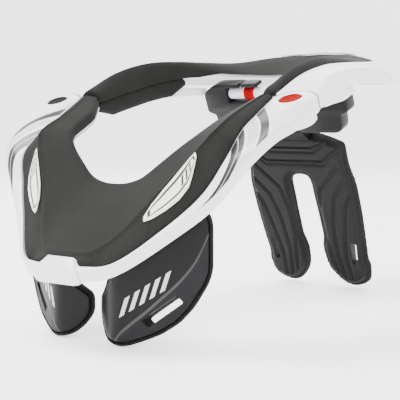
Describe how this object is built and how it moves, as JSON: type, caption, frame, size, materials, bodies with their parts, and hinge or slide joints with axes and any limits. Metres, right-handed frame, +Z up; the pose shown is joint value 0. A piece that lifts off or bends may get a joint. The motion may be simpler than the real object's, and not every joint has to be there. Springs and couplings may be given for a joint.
{
  "type": "motocross neck brace",
  "caption": "White and charcoal motocross neck brace with a padded collar, chest pads and forked back wings, standing on a table",
  "frame": {"origin": "centre of the bounding box's bottom face, on the floor that the chest pads and the back wings stand on", "axes": "+X is the wearer's left, +Y is towards the wearer's back, +Z is up from the floor"},
  "size_m": [0.29, 0.434, 0.2391],
  "materials": {
    "shell_white": "moulded, glossy, clean",
    "foam_charcoal": "matte foam pad with a fine fabric skin",
    "insert_cream": "smooth satin plate",
    "button_red": "smooth gloss button",
    "plastic_black": "moulded, lightly textured",
    "cover_black": "dense satin cover cloth",
    "spindle_lavender": "smooth pale rod"
  },
  "bodies": {
    "rear": {"rear_shell": "shell_white", "rear_pad": "foam_charcoal", "rear_insert": "insert_cream", "shoulder_pad_left": "foam_charcoal", "shoulder_pad_right": "foam_charcoal", "carrier": "plastic_black", "spindle": "spindle_lavender", "adjuster_cap_left": "plastic_black", "adjuster_cap_right": "plastic_black"},
    "front": {"front_shell": "shell_white", "front_pad": "foam_charcoal", "nose_tab": "shell_white", "front_insert_left": "insert_cream", "front_insert_right": "insert_cream", "chest_pad_left": "foam_charcoal", "chest_pad_right": "foam_charcoal", "chest_cover_left": "cover_black", "chest_cover_right": "cover_black"},
    "wings": {"wings": "plastic_black"},
    "button_left": {"button_left": "button_red"},
    "button_right": {"button_right": "plastic_black"},
    "collar_left": {"adjuster_collar_left": "button_red"},
    "collar_right": {"adjuster_collar_right": "button_red"}
  },
  "joints": [
    {"name": "front_swing", "type": "hinge", "parent": "rear", "child": "front", "pos_m": [-0.1244, -0.0811, 0.18296], "axis": [0, -0.3902, 0.9207], "range_deg": [-30, 0]},
    {"name": "wings_tilt", "type": "hinge", "parent": "rear", "child": "wings", "pos_m": [0, 0.09518, 0.17295], "axis": [1, 0, 0], "range_deg": [-10, 10]},
    {"name": "button_left_press", "type": "slide", "parent": "front", "child": "button_left", "axis": [0, 0.3902, -0.9207], "range_m": [0, 0.002], "stiffness_N_per_m": 600},
    {"name": "button_right_press", "type": "slide", "parent": "front", "child": "button_right", "axis": [0, 0.3902, -0.9207], "range_m": [0, 0.002], "stiffness_N_per_m": 600},
    {"name": "collar_left_turn", "type": "hinge", "parent": "rear", "child": "collar_left", "pos_m": [0.027, 0.08484, 0.19735], "axis": [1, 0, 0], "range_deg": [0, 90]},
    {"name": "collar_right_turn", "type": "hinge", "parent": "rear", "child": "collar_right", "pos_m": [-0.027, 0.08484, 0.19735], "axis": [1, 0, 0], "range_deg": [0, 90]}
  ]
}
